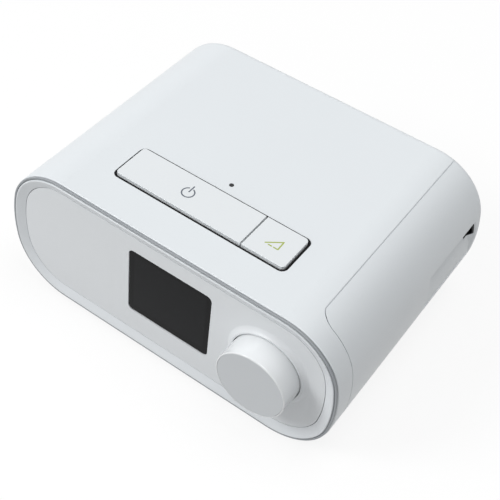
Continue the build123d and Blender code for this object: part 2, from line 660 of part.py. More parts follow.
def control_dial():
    """Hollow drum with a hub on the encoder's shaft and three spokes."""
    base_y = PANEL_Y + 0.3
    seat_y = DIAL_FACE_Y + CAP_T + CAP_GAP / 2
    drum = rod_y(DIAL_X, DIAL_Z, DIAL_R, DIAL_FACE_Y, base_y)
    drum = fillet(drum.faces().sort_by(Axis.Y)[0].edges(), DIAL_R - CAP_R - CAP_GAP)
    drum -= rod_y(DIAL_X, DIAL_Z, CAP_R, DIAL_FACE_Y - 1, seat_y)
    drum -= rod_y(DIAL_X, DIAL_Z, DIAL_R - DIAL_WALL, DIAL_FACE_Y + 3.0, base_y + 1)
    drum += rod_y(DIAL_X, DIAL_Z, 2 * SHAFT_R, DIAL_FACE_Y + 2.5, RIM_Y - 3.3)
    for turn in range(3):
        spoke = span(SHAFT_R + 2, DIAL_R - 2, DIAL_FACE_Y + 2.5, RIM_Y - 4, -DIAL_SPOKE / 2, DIAL_SPOKE / 2)
        drum += Pos(DIAL_X, 0, DIAL_Z) * Rot(0, 120 * turn, 0) * spoke
    return drum - rod_y(DIAL_X, DIAL_Z, SHAFT_R + PRESSED, DIAL_FACE_Y + 4.48, RIM_Y)


def dial_cap():
    disc = rod_y(DIAL_X, DIAL_Z, CAP_R - CAP_GAP, DIAL_FACE_Y + CAP_GAP / 2, DIAL_FACE_Y + CAP_T)
    return fillet(disc.faces().sort_by(Axis.Y)[0].edges(), 0.15)


# ---------------------------------------------------------------- top buttons
def button_cap(x0, x1, rounded_side):
    """Raised cap with a groove under its top plate and a flange under the cover."""
    y0, y1 = SLOT_FRONT_Y + BUTTON_GAP, SLOT_REAR_Y - BUTTON_REAR_GAP
    block = span(x0, x1, y0, y1, CEILING_Z - 0.4, HEIGHT)
    uprights = block.edges().filter_by(Axis.Z).sort_by(Axis.X)
    outer_pair = uprights[:2] if rounded_side < 0 else uprights[-2:]
    cap = fillet(outer_pair, SLOT_CORNER - BUTTON_GAP)
    cap = fillet(cap.faces().sort_by(Axis.Z)[-1].edges(), 0.2)
    groove_z = HEIGHT - PLATE_T
    ring = span(x0 - 1, x1 + 1, y0 - 1, y1 + 1, groove_z - GROOVE_H, groove_z)
    core = rounded_block(x0 + GROOVE_DEPTH, x1 - GROOVE_DEPTH, y0 + GROOVE_DEPTH, y1 - GROOVE_DEPTH,
                         groove_z - 1, groove_z + 1, SLOT_CORNER - BUTTON_GAP - GROOVE_DEPTH)
    cap -= ring - core
    reach = BUTTON_GAP + FLANGE_REACH
    flange_x = (x0 - reach, x1) if rounded_side < 0 else (x0, x1 + reach)
    cap += span(*flange_x, y0 - reach, y1 + reach, CEILING_Z - 1.2, CEILING_Z - 0.35)
    return cap - span(x0 + 2, x1 - 2, y0 + 2, y1 - 2, CEILING_Z - 2, HEIGHT - 2)


def with_plungers(cap, places):
    for x in places:
        cap += rod_z(x, BUTTON_MID_Y, 2.2, DOME_TOP_Z + BUTTON_TRAVEL + 0.3, HEIGHT - 1.5)
    return cap


def on_off_button():
    cap = button_cap(SLOT_LEFT_X + BUTTON_GAP, SLOT_DIVIDER_X - BUTTON_DIVIDER / 2, -1)
    return with_plungers(cap, ON_OFF_DOMES)


def ramp_button():
    cap = button_cap(SLOT_DIVIDER_X + BUTTON_DIVIDER / 2, SLOT_RIGHT_X - BUTTON_GAP, 1)
    return with_plungers(cap, RAMP_DOMES)


def button_gasket():
    """Black dust frame that fills the gap round the buttons, just below the cover's surface."""
    gap = BUTTON_GAP - GASKET_CLEAR
    rear_gap = BUTTON_REAR_GAP - GASKET_CLEAR
    opening = rounded_block(SLOT_LEFT_X + gap, SLOT_RIGHT_X - gap, SLOT_FRONT_Y + gap, SLOT_REAR_Y - rear_gap,
                            CEILING_Z - 1, HEIGHT, SLOT_CORNER - gap)
    return button_slot(CEILING_Z, TOP_Z - GASKET_SINK) - opening


def button_board():
    board = rounded_block(-BUTTON_POST_X - 3, BUTTON_POST_X + 3, SLOT_FRONT_Y - 3, SENSOR_Y + 5,
                          BUTTON_BOARD_Z, BUTTON_BOARD_Z + BOARD_T - RUNNING, 3.0)
    for x in (-BUTTON_POST_X, BUTTON_POST_X):
        board -= rod_z(x, BUTTON_MID_Y, 1.0, BUTTON_BOARD_Z - 1, BUTTON_BOARD_Z + 3)
    for x, y in CASE_POSTS:
        board -= rod_z(x, y, POST_R + 0.6, 0, HEIGHT)
    return board


def button_membrane():
    """Rubber sheet with a collapsible dome under each plunger."""
    z0 = BUTTON_BOARD_Z + BOARD_T
    pad = rounded_block(SLOT_LEFT_X + 0.5, SLOT_RIGHT_X + 0.7, SLOT_FRONT_Y + 1, SLOT_REAR_Y - 1,
                        z0, z0 + 1.2, 2.0)
    for x in ON_OFF_DOMES + RAMP_DOMES:
        pad += Pos(x, BUTTON_MID_Y, (z0 + 1 + DOME_TOP_Z) / 2) * Cone(4.6, 3.2, DOME_TOP_Z - z0 - 1)
        pad -= rod_z(x, BUTTON_MID_Y, 2.6, z0 - 1, DOME_TOP_Z - 1.0)
        pad -= rod_z(x, BUTTON_MID_Y, 3.6, z0 - 1, z0 + 0.7)
    return pad


def switch_domes():
    z0 = BUTTON_BOARD_Z + BOARD_T
    return group([Pos(x, BUTTON_MID_Y, z0 + 0.25) * Cone(3.2, 1.6, 0.5) for x in ON_OFF_DOMES + RAMP_DOMES])


def light_sensor_lens():
    lens = rod_z(SENSOR_X, SENSOR_Y, SENSOR_R, CEILING_Z - 0.8, TOP_Z - 0.1)
    lens += rod_z(SENSOR_X, SENSOR_Y, 2.2, BUTTON_BOARD_Z + BOARD_T + 0.1, CEILING_Z - 0.1)
    return lens


# ---------------------------------------------------------------- blower and air path
def blower_lower_housing():
    cup = rod_z(BLOWER_X, BLOWER_Y, BLOWER_R, BLOWER_FLOOR_Z, BLOWER_JOINT_Z)
    cup -= rod_z(BLOWER_X, BLOWER_Y, BLOWER_R - BLOWER_WALL, BLOWER_FLOOR_Z + BLOWER_WALL, BLOWER_JOINT_Z + 1)
    cup += tube_z(BLOWER_X, BLOWER_Y, 7.5, 4.0, BLOWER_FLOOR_Z + 1, BLOWER_FLOOR_Z + 6)
    return cup


def blower_upper_housing():
    cap = rod_z(BLOWER_X, BLOWER_Y, BLOWER_R, BLOWER_JOINT_Z, BLOWER_TOP_Z)
    cap += rod_y(OUTLET_X, OUTLET_Z, OUTLET_R - 0.5, BLOWER_Y + 6, TUBE_END_Y)
    cap += rod_z(BLOWER_X, BLOWER_Y, 16.0, BLOWER_TOP_Z - 1, BLOWER_TOP_Z + 3)
    cap -= rod_z(BLOWER_X, BLOWER_Y, BLOWER_R - BLOWER_WALL, BLOWER_JOINT_Z + 3, BLOWER_TOP_Z - BLOWER_WALL)
    cap -= rod_y(OUTLET_X, OUTLET_Z, OUTLET_BORE - 0.9, BLOWER_Y + 13, TUBE_END_Y + 1)
    cap -= rod_z(BLOWER_X, BLOWER_Y, 13.0, BLOWER_TOP_Z - 4, BLOWER_TOP_Z + 4)
    cap -= rod_z(BLOWER_X, BLOWER_Y, 4.0, BLOWER_JOINT_Z - 1, BLOWER_JOINT_Z + 4)
    return cap


def impeller():
    """Backplate with curved blades round a hub."""
    z0 = BLOWER_JOINT_Z + 4.0
    wheel = rod_z(0, 0, IMPELLER_R, z0, z0 + 1.4)
    wheel += rod_z(0, 0, 6.0, z0, z0 + 9.0)
    for blade in range(BLADES):
        curve = tube_z(15.5, 8.0, 17.6, 16.4, z0 + 1, z0 + 8.5)
        reach = tube_z(0, 0, IMPELLER_R - 0.5, 5.0, z0, z0 + 12)
        reach &= span(0, IMPELLER_R, -IMPELLER_R, 12, z0, z0 + 12)
        half = curve & reach & span(-40, 40, -40, 1, z0, z0 + 12)
        wheel += Rot(0, 0, blade * 360 / BLADES) * half
    wheel -= rod_z(0, 0, MOTOR_SHAFT_R + PRESSED, z0 - 1, z0 + 12)
    return Pos(BLOWER_X, BLOWER_Y, 0) * wheel


def motor_shaft():
    return rod_z(BLOWER_X, BLOWER_Y, MOTOR_SHAFT_R, BLOWER_FLOOR_Z + 2.3, BLOWER_JOINT_Z + 14.0)


def motor_rotor():
    z0, z1 = BLOWER_FLOOR_Z + 7.0, BLOWER_JOINT_Z - 1.2
    return tube_z(BLOWER_X, BLOWER_Y, 9.0, MOTOR_SHAFT_R, z0, z1)


def motor_stator():
    z0, z1 = BLOWER_FLOOR_Z + 6.5, BLOWER_JOINT_Z - 0.4
    ring = tube_z(BLOWER_X, BLOWER_Y, 22.0, 18.0, z0, z1)
    for tooth in range(STATOR_TEETH):
        arm = span(9.8, 19.0, -2.0, 2.0, z0 + 1, z1 - 1) + (
            tube_z(0, 0, 11.4, 9.6, z0 + 1, z1 - 1) & span(0, 12, -3.0, 3.0, z0, z1))
        ring += Pos(BLOWER_X, BLOWER_Y, 0) * Rot(0, 0, tooth * 360 / STATOR_TEETH) * arm
    return ring


def motor_bearings():
    spots = [BLOWER_FLOOR_Z + 2.2, BLOWER_JOINT_Z + 0.2]
    return group([tube_z(BLOWER_X, BLOWER_Y, BEARING_R, MOTOR_SHAFT_R + RUNNING, z, z + 2.6) for z in spots])


def blower_mounts():
    return group([rod_z(x, y, 4.0, BLOWER_FLOOR_Z - 4, BLOWER_FLOOR_Z) for x, y in BLOWER_POSTS])


def outlet_port():
    port = rod_y(OUTLET_X, OUTLET_Z, OUTLET_R, REAR_Y - OUTLET_LENGTH, REAR_Y)
    root_y = REAR_Y - OUTLET_LENGTH
    port += rod_y(OUTLET_X, OUTLET_Z, OUTLET_ROOT_R, root_y - OUTLET_ROOT, root_y)
    port += rod_y(OUTLET_X, OUTLET_Z, OUTLET_R + 2.0, root_y - 3.6, root_y - 1.7)
    port -= rod_y(OUTLET_X, OUTLET_Z, OUTLET_BORE, root_y - OUTLET_ROOT - 1, REAR_Y + 1)
    return port


def outlet_seal():
    """Rubber sleeve between the blower tube and the outlet port."""
    joint = REAR_Y - OUTLET_LENGTH - OUTLET_ROOT
    return tube_y(OUTLET_X, OUTLET_Z, OUTLET_R + 2.0, OUTLET_ROOT_R + PRESSED, TUBE_END_Y - 4, joint + 1.2)


def flow_sensor():
    z0 = OUTLET_Z + OUTLET_R + 0.2
    sensor = span(OUTLET_X - 7, OUTLET_X + 7, 36, 45.5, z0, z0 + 4)
    return sensor + span(OUTLET_X - 8, OUTLET_X + 8, 35, 45.6, z0 + 4, z0 + 5.2)


def inlet_box():
    """Silencer box from the filter pocket to the blower inlet."""
    box = rounded_block(*DUCT_X, *DUCT_Y, *DUCT_Z, 4.0)
    box += span(BLOWER_X - 16, DUCT_X[0] + 6, BLOWER_Y - 16, BLOWER_Y + 16, DUCT_Z[1] - 3.8, DUCT_Z[1] + 5)
    box -= rounded_block(DUCT_X[0] + DUCT_WALL, DUCT_X[1] - DUCT_WALL, DUCT_Y[0] + DUCT_WALL,
                         DUCT_Y[1] - DUCT_WALL, DUCT_Z[0] + DUCT_WALL, DUCT_Z[1] - DUCT_WALL, 3.0)
    box -= span(BLOWER_X - 14, DUCT_X[0] + 4, BLOWER_Y - 14, BLOWER_Y + 14, DUCT_Z[1] - 2.2, DUCT_Z[1] + 3.4)
    box -= span(DUCT_X[0] - 1, DUCT_X[0] + 4, BLOWER_Y + 3, BLOWER_Y + 14, DUCT_Z[1] - 12, DUCT_Z[1] + 3.4)
    box -= rod_z(BLOWER_X, BLOWER_Y, 12.0, DUCT_Z[1] - 6, DUCT_Z[1])
    box -= span(DUCT_X[1] - 3, DUCT_X[1] + 1, FILTER_Y[0] + FILTER_BORDER, FILTER_Y[1] - FILTER_BORDER,
                DUCT_Z[0] + 3, FILTER_Z[1] - FILTER_BORDER)
    return box


def inlet_foam():
    foam = rounded_block(DUCT_X[0] + 6, DUCT_X[1] - 4, DUCT_Y[0] + 3, DUCT_Y[1] - 3,
                         DUCT_Z[0] + 2.2, DUCT_Z[0] + 24, 3.0)
    for row in range(4):
        foam -= rod_y(18 + row * 10, DUCT_Z[0] + 26, 4.0, DUCT_Y[0], DUCT_Y[1])
    return foam


# ---------------------------------------------------------------- electronics
def main_board():
    board = rounded_block(-4, 68, -44, 64, MAIN_BOARD_Z, MAIN_BOARD_Z + BOARD_T, 3.0)
    for x, y in BOARD_POSTS:
        board -= rod_z(x, y, 1.2, MAIN_BOARD_Z - 1, MAIN_BOARD_Z + 3)
    for x, y in CASE_POSTS:
        board -= rod_z(x, y, POST_R + 3, 0, HEIGHT)
    return board


def heat_sink():
    z0 = MAIN_BOARD_Z + BOARD_T
    sink = span(30, 56, -22, 0, z0, z0 + 2)
    for fin in range(6):
        x = 30 + fin * 4.9
        sink += span(x, x + 1.2, -22, 0, z0 + 1, z0 + 13)
    return sink


def board_capacitors():
    z0 = MAIN_BOARD_Z + BOARD_T
    cans = [rod_z(x, y, radius, z0, z0 + tall) for x, y, radius, tall in CAPACITORS]
    return group([fillet(can.edges(), 0.6) for can in cans])


def board_components():
    z0 = MAIN_BOARD_Z + BOARD_T
    return group([span(x - w / 2, x + w / 2, y - d / 2, y + d / 2, z0, z0 + h) for x, y, w, d, h in CHIPS])


def screws(spots, z0, head_r, head_h, shank_r, shank_h):
    made = []
    for x, y in spots:
        head = rod_z(x, y, head_r, z0, z0 + head_h)
        slot = span(x - head_r * 0.6, x + head_r * 0.6, y - 0.3, y + 0.3, z0 - 1, z0 + head_h * 0.45)
        cross = span(x - 0.3, x + 0.3, y - head_r * 0.6, y + head_r * 0.6, z0 - 1, z0 + head_h * 0.45)
        made.append(head - slot - cross + rod_z(x, y, shank_r, z0 + head_h, z0 + head_h + shank_h))
    return group(made)


def case_screws():
    return screws(CASE_POSTS, SPLIT_Z - 1.9, 2.9, 1.8, SCREW_R, 14.0)


def board_screws():
    top = MAIN_BOARD_Z + BOARD_T
    return group([rod_z(x, y, 2.4, top, top + 1.5) + rod_z(x, y, 1.0, top - 5.4, top)
                  for x, y in BOARD_POSTS])


def power_inlet():
    """Round low-voltage jack: insulated barrel with its mouth in the rear panel."""
    z0 = MAIN_BOARD_Z + BOARD_T
    jack = span(POWER_X - 6, POWER_X + 6, 53, REAR_Y - 5.6, z0 + 0.1, POWER_Z + 7)
    jack += rod_y(POWER_X, POWER_Z, 5.4, REAR_Y - 7, REAR_Y - 0.4)
    return jack - rod_y(POWER_X, POWER_Z, POWER_BORE, REAR_Y - 12, REAR_Y)


def power_pin():
    pin = rod_y(POWER_X, POWER_Z, 0.8, REAR_Y - 12, REAR_Y - 2.2)
    return fillet(pin.faces().sort_by(Axis.Y)[-1].edges(), 0.3)


def link_connector():
    """Edge connector for the humidifier, behind its small rear door."""
    shell = span(LINK_X - LINK_HALF, LINK_X + LINK_HALF, 58, REAR_Y - 4.6, LINK_Z - 2.6, LINK_Z + 5.6)
    shell += span(LINK_X - LINK_HALF, LINK_X + LINK_HALF, 54, 62, MAIN_BOARD_Z + BOARD_T, LINK_Z)
    return shell - span(LINK_X - 11.6, LINK_X + 11.6, 64, REAR_Y, LINK_Z - 1.0, LINK_Z + 4.0)


def connector_door():
    x0, x1 = LINK_X - LINK_W / 2, LINK_X + LINK_W / 2
    z0, z1 = LINK_HINGE_Z, LINK_Z + LINK_H / 2
    door = span(x0, x1, REAR_Y - 1.9, REAR_Y - 0.3, z0 + 1.6, z1)
    door -= span(LINK_X - 5, LINK_X + 5, REAR_Y - 1.0, REAR_Y, z1 - 2.6, z1 - 0.8)
    for side in (-1, 1):
        x = LINK_X + side * (LINK_W / 2 - LINK_HINGE_INSET)
        door += rod_x(LINK_HINGE_Y, LINK_HINGE_Z, 1.25, x - 1.8, x + 1.8)
        door += span(x - 1.8, x + 1.8, REAR_Y - 1.9, REAR_Y - 0.6, z0, z0 + 2.2)
        door -= rod_x(LINK_HINGE_Y, LINK_HINGE_Z, LINK_PIN_R + RUNNING, x - 3, x + 3)
    return door


def connector_door_pins():
    centres = [LINK_X + side * (LINK_W / 2 - LINK_HINGE_INSET) for side in (-1, 1)]
    return group([rod_x(LINK_HINGE_Y, LINK_HINGE_Z, LINK_PIN_R, x - 2.8, x + 2.8) for x in centres])


def display_ribbon():
    """Flat cable from the display board down to the main board."""
    y0 = UI_BOARD_Y + BOARD_T
    ribbon = span(14, 34, y0, y0 + 2.2, 30, 30.4) + span(14, 34, y0 + 1.8, y0 + 2.2, 17, 30.4)
    ribbon += span(14, 34, y0 + 1.8, y0 + 10, 16.8, 17.2) + span(14, 34, y0 + 9.6, y0 + 10, 14.2, 17.2)
    return ribbon


def ribbon_plugs():
    y0 = UI_BOARD_Y + BOARD_T
    upper = span(13, 35, y0, y0 + 1.7, 30.5, 34)
    lower = span(13, 35, y0 + 8.0, y0 + 11.5, MAIN_BOARD_Z + BOARD_T, 14.1)
    return group([upper, lower])


def feet():
    pads = []
    for x, y in FEET:
        pad = rod_z(x, y, FOOT_R, 0, FOOT_STAND + FOOT_SINK)
        pads.append(fillet(pad.edges().sort_by(Axis.Z)[0], 0.8))
    return group(pads)


# ---------------------------------------------------------------- write every piece
PIECES = {
    "top_cover": top_cover,
    "bottom_case": bottom_case,
    "rear_panel": rear_panel,
    "side_door": side_door,
    "intake_liner": intake_liner,
    "door_hinge_pins": door_hinge_pins,
    "side_bay": side_bay,
    "filter_frame": filter_frame,
    "pollen_filter": lambda: filter_pad(FILTER_X + 8.0, BAY_X - 0.2),
    "fine_filter": lambda: filter_pad(FILTER_X + 3.0, FILTER_X + 7.8),
    "card_socket": card_socket,
    "sd_card": sd_card,
    "front_trim_ring": front_trim_ring,
    "front_bezel": front_bezel,
    "front_panel": front_panel,
    "screen_window": screen_window,
    "lcd_module": lcd_module,
    "ui_board": ui_board,
    "encoder_body": encoder_body,
    "encoder_plunger": encoder_plunger,
    "encoder_shaft": encoder_shaft,
    "control_dial": control_dial,
    "dial_cap": dial_cap,
    "on_off_button": on_off_button,
    "ramp_button": ramp_button,
    "button_gasket": button_gasket,
    "button_board": button_board,
    "button_membrane": button_membrane,
    "switch_domes": switch_domes,
    "light_sensor_lens": light_sensor_lens,
    "blower_lower_housing": blower_lower_housing,
    "blower_upper_housing": blower_upper_housing,
    "blower_mounts": blower_mounts,
    "impeller": impeller,
    "motor_shaft": motor_shaft,
    "motor_rotor": motor_rotor,
    "motor_stator": motor_stator,
    "motor_bearings": motor_bearings,
    "outlet_port": outlet_port,
    "outlet_seal": outlet_seal,
    "flow_sensor": flow_sensor,
    "inlet_box": inlet_box,
    "inlet_foam": inlet_foam,
    "main_board": main_board,
    "heat_sink": heat_sink,
    "board_capacitors": board_capacitors,
    "board_components": board_components,
    "board_screws": board_screws,
    "case_screws": case_screws,
    "power_inlet": power_inlet,
    "power_pin": power_pin,
    "link_connector": link_connector,
    "connector_door": connector_door,
    "connector_door_pins": connector_door_pins,
    "display_ribbon": display_ribbon,
    "ribbon_plugs": ribbon_plugs,
    "feet": feet,
}

os.makedirs("parts", exist_ok=True)
for node, make in PIECES.items():
    export_step(make(), os.path.join("parts", node + ".step"))
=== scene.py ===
import json
import math

import bmesh
import bpy
from mathutils import Matrix, Vector

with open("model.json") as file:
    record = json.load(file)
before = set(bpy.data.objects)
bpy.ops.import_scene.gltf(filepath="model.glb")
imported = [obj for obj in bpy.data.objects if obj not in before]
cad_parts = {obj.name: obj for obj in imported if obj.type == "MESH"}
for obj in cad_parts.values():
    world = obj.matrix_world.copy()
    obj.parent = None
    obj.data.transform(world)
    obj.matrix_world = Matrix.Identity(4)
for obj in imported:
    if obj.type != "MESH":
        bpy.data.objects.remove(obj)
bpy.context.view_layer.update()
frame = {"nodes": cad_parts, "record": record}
nodes = frame["nodes"]
MM = 0.001

# ---------------------------------------------------------------- measures (mm, as in the part)
SCREEN_X = 1.65
PICTURE_Z = 46.0
PICTURE_HALF_W = 20.85
PICTURE_HALF_H = 18.0
PICTURE_EDGE = 0.5
INK_W = 0.72
INK_BLUR = 0.04
INK_DOT = 0.01
POWER_MARK = (-13.6, -31.3)
POWER_RING_R = 3.15
POWER_GAP = (70, 116)
POWER_BAR = (0.7, 5.0)
RAMP_LINES = [((32.7, -34.3), (39.5, -29.0)), ((39.5, -29.6), (39.7, -34.45)),
              ((39.7, -34.45), (37.4, -34.45)), ((36.2, -34.45), (34.6, -34.45))]
POWER_INK = (0.075, 0.09, 0.12, 1)
RAMP_INK = (0.33, 0.40, 0.05, 1)
COPPER_TURNS = 14000
CAMERA_PLACE = (191.896, -329.123, 441.729)
CAMERA_TURN = (31.59, 43.772, 5.907)
CAMERA_LENS = 77.487
CAMERA_SHIFT = (0.04, -0.14)

# ---------------------------------------------------------------- stage (metres and watts)
FLOOR_HALF = 6.0
FLOOR_GLOW = 0.85
FLOOR_COLOURS = ((0.46, 0.46, 0.46), (0.48, 0.48, 0.48))
SKY_SIDE = (-0.5, -0.65, 0.55)
SKY_LEVEL = 0.33
SKY_SLOPE = 0.27
AIM = (0, 0, 0.04)
LAMPS = {
    "window": ((-1.25, -1.35, 1.45), 0.9, 25.5),
    "ceiling": ((0.4, 0.2, 1.7), 1.1, 11.3),
}


# ---------------------------------------------------------------- shader sums
class Shade:
    """A socket of a material's tree; sums and products of these become Math nodes."""

    def __init__(self, tree, socket=None):
        self.tree = tree
        self.socket = socket

    def node(self, kind, settings=None, inputs=None, output=0):
        """Any node: its type, its settings first, then values or links of its sockets."""
        made = self.tree.nodes.new("ShaderNode" + kind)
        for name, value in (settings or {}).items():
            setattr(made, name, value)
        for name, value in (inputs or {}).items():
            if isinstance(value, Shade):
                self.tree.links.new(value.socket, made.inputs[name])
            else:
                made.inputs[name].default_value = value
        return Shade(self.tree, made.outputs[output])

    def maths(self, operation, *values):
        return self.node("Math", {"operation": operation}, dict(enumerate(values)))

    def __add__(self, other):
        return self.maths("ADD", self, other)

    def __radd__(self, other):
        return self.maths("ADD", other, self)

    def __sub__(self, other):
        return self.maths("SUBTRACT", self, other)

    def __rsub__(self, other):
        return self.maths("SUBTRACT", other, self)

    def __mul__(self, other):
        return self.maths("MULTIPLY", self, other)

    def __rmul__(self, other):
        return self.maths("MULTIPLY", other, self)

    def __truediv__(self, other):
        return self.maths("DIVIDE", self, other)

    def __abs__(self):
        return self.maths("ABSOLUTE", self)

    def between(self, low, high):
        """0 below low, 1 above high, smooth between."""
        span = {"From Min": low, "From Max": high}
        return self.node("MapRange", {"interpolation_type": "SMOOTHSTEP"}, {"Value": self, **span})

    def noise(self, scale, detail=2.0, roughness=0.5):
        """Noise at this place, scale in cells to the metre."""
        sockets = {"Vector": self, "Scale": scale, "Detail": detail, "Roughness": roughness}
        return self.node("TexNoise", {}, sockets)

    def cells(self, scale, feature="F1"):
        return self.node("TexVoronoi", {"feature": feature}, {"Vector": self, "Scale": scale})

    def tint(self, dark, light):
        """Colour that goes from dark at 0 to light at 1."""
        ends = {0: self, 6: (*dark, 1), 7: (*light, 1)}
        return self.node("Mix", {"data_type": "RGBA"}, ends, 2)

    def over(self, below, above):
        """Colour below where this is 0 and above where it is 1."""
        return self.node("Mix", {"data_type": "RGBA"}, {0: self, 6: below, 7: above}, 2)

    def axis(self, number):
        """The x (0), y (1) or z (2) of a place."""
        return self.node("SeparateXYZ", {}, {"Vector": self}, number)

    def bump(self, depth, strength=1.0):
        """Normal from this height, whose full range is depth metres."""
        sockets = {"Height": self, "Distance": depth, "Strength": strength}
        return self.node("Bump", {}, sockets)


def finish(name, build, roughness=0.5, metallic=0.0, coat=0.0, **constants):
    """New material whose nodes come from build(place), which returns linked sockets by name."""
    material = bpy.data.materials.new(name)
    material.use_nodes = True
    tree = material.node_tree
    shader = tree.nodes["Principled BSDF"]
    shader.inputs["Roughness"].default_value = roughness
    shader.inputs["Metallic"].default_value = metallic
    shader.inputs["Coat Weight"].default_value = coat
    for socket, value in constants.items():
        shader.inputs[socket.replace("_", " ")].default_value = value
    place = Shade(tree).node("TexCoord", {}, {}, 3)
    for socket, value in build(place).items():
        tree.links.new(value.socket, shader.inputs[socket.replace("_", " ")])
    return material


def shades(colour, spread):
    """Slightly darker and lighter versions of a colour."""
    return [tuple(min(1.0, c * k) for c in colour) for k in (1 - spread, 1 + spread)]


# ---------------------------------------------------------------- finishes
def moulded(name, colour, roughness=0.42, grain=0.00002, spread=0.012, coat=0.0, cells=2600, **constants):
    """Injection-moulded plastic: fine eroded grain, faint flow mottling."""

    def build(place):
        mottle = place.noise(18, 3).tint(*shades(colour, spread))
        fine = place.noise(cells, 2, 0.6)
        gloss = place.noise(60, 2) * 0.08 + (roughness - 0.04)
        return {"Base_Color": mottle, "Roughness": gloss, "Normal": fine.bump(grain, 0.35)}

    return finish(name, build, roughness, coat=coat, **constants)


def rubber(name, colour, **constants):
    def build(place):
        dust = place.noise(900, 4, 0.7).between(0.45, 0.8)
        return {
            "Base_Color": dust.tint(*shades(colour, 0.14)),
            "Roughness": dust * 0.12 + 0.7,
            "Normal": place.noise(3200, 3).bump(0.00005, 0.5),
        }

    return finish(name, build, 0.75, **constants)


def drawn_metal(name, colour, stretch, roughness=0.3):
    """Drawn or rolled metal with fine lines along one axis."""

    def build(place):
        squeezed = place.node("Mapping", {}, {"Vector": place, "Scale": stretch})
        lines = squeezed.noise(1.0, 3, 0.6)
        stain = place.noise(120, 3)
        return {
            "Base_Color": stain.tint(*shades(colour, 0.06)),
            "Roughness": lines * 0.22 + (roughness - 0.08),
            "Normal": lines.bump(0.00001, 0.4),
        }

    return finish(name, build, roughness, metallic=1.0)


def open_foam(name, colour, scale):
    def build(place):
        pores = place.cells(scale).between(0.05, 0.6)
        fluff = place.noise(scale * 3, 4, 0.7)
        return {
            # the pores are painted down to a quarter of the foam's colour: painted shade in the open cells
            "Base_Color": (pores * 0.7 + fluff * 0.3).tint(tuple(c * 0.25 for c in colour), colour),
            "Roughness": fluff * 0.1 + 0.85,
            "Normal": (1 - pores).bump(0.0004, 0.8),
        }

    return finish(name, build, 0.9, Sheen_Weight=0.15)


def fibre_mat(name, colour):
    """Pressed fine fibres, as in a particle filter."""

    def build(place):
        strands = place.node("TexWave", {}, {"Vector": place, "Scale": 260, "Distortion": 22, "Detail": 3})
        fluff = place.noise(2400, 4, 0.7)
        return {
            "Base_Color": (strands * 0.5 + fluff * 0.5).tint(*shades(colour, 0.1)),
            "Roughness": fluff * 0.1 + 0.85,
            "Normal": (strands + fluff).bump(0.0002, 0.7),
        }

    return finish(name, build, 0.9, Sheen_Weight=0.3)


def circuit_board(name, mask_colour):
    """Green solder mask over copper tracks, with plated dots."""

    def build(place):
        weave = place.cells(420, "DISTANCE_TO_EDGE")
        tracks = 1 - weave.between(0.02, 0.09)
        dots = 1 - place.cells(260).between(0.10, 0.14)
        mask = tracks.tint(mask_colour, tuple(c * 1.9 for c in mask_colour))
        return {
            "Base_Color": dots.over(mask, (0.62, 0.56, 0.40, 1)),
            "Roughness": 0.42 - dots * 0.18,
            "Metallic": dots * 0.9,
            "Normal": (tracks + dots).bump(0.00004, 0.6),
        }

    return finish(name, build, 0.4)


def wound_copper(name):
    def build(place):
        phase = place.axis(2) * COPPER_TURNS
        turns = phase.maths("SINE", phase)
        enamel = place.noise(500, 3)
        return {
            "Base_Color": enamel.tint((0.45, 0.18, 0.07), (0.72, 0.36, 0.18)),
            "Roughness": enamel * 0.2 + 0.2,
            "Normal": turns.bump(0.0001, 0.7),
        }

    return finish(name, build, 0.3, metallic=1.0)


def display_glass(name):
    """Black polished window with a faintly paler picture area behind it."""

    def build(place):
        across = abs(place.axis(0) - SCREEN_X * MM)
        upright = abs(place.axis(2) - PICTURE_Z * MM)
        wide = 1 - across.between(PICTURE_HALF_W * MM, (PICTURE_HALF_W + PICTURE_EDGE) * MM)
        tall = 1 - upright.between(PICTURE_HALF_H * MM, (PICTURE_HALF_H + PICTURE_EDGE) * MM)
        haze = place.noise(40, 2) * 0.1
        smudge = place.noise(90, 4, 0.65).between(0.4, 0.9)
        return {
            "Base_Color": (wide * tall * 0.9 + haze).tint((0.002, 0.0022, 0.0028), (0.006, 0.0065, 0.0075)),
            "Roughness": smudge * 0.08 + 0.10,
            "Normal": place.noise(30, 1).bump(0.00002, 0.2),
        }

    return finish(name, build, 0.12, Specular_IOR_Level=0.08)


def inked(distance):
    """1 where this distance is within half an ink line's width, with a soft edge."""
    half = INK_W / 2
    return 1 - distance.between((half - INK_BLUR) * MM, (half + INK_BLUR) * MM)


def ink_line(flat, start, end):
    """Ink cover of a straight line with round ends."""
    first = Vector((*start, 0)) * MM
    run = Vector((*end, 0)) * MM - first
    offset = flat.node("VectorMath", {"operation": "SUBTRACT"}, {0: flat, 1: first})
    scale = run / run.length_squared
    share = offset.node("VectorMath", {"operation": "DOT_PRODUCT"}, {0: offset, 1: scale}, 1)
    share = share.node("Clamp", {}, {"Value": share})
    foot = share.node("VectorMath", {"operation": "SCALE"}, {0: run, "Scale": share})
    return inked(foot.node("VectorMath", {"operation": "DISTANCE"}, {0: offset, 1: foot}, 1))


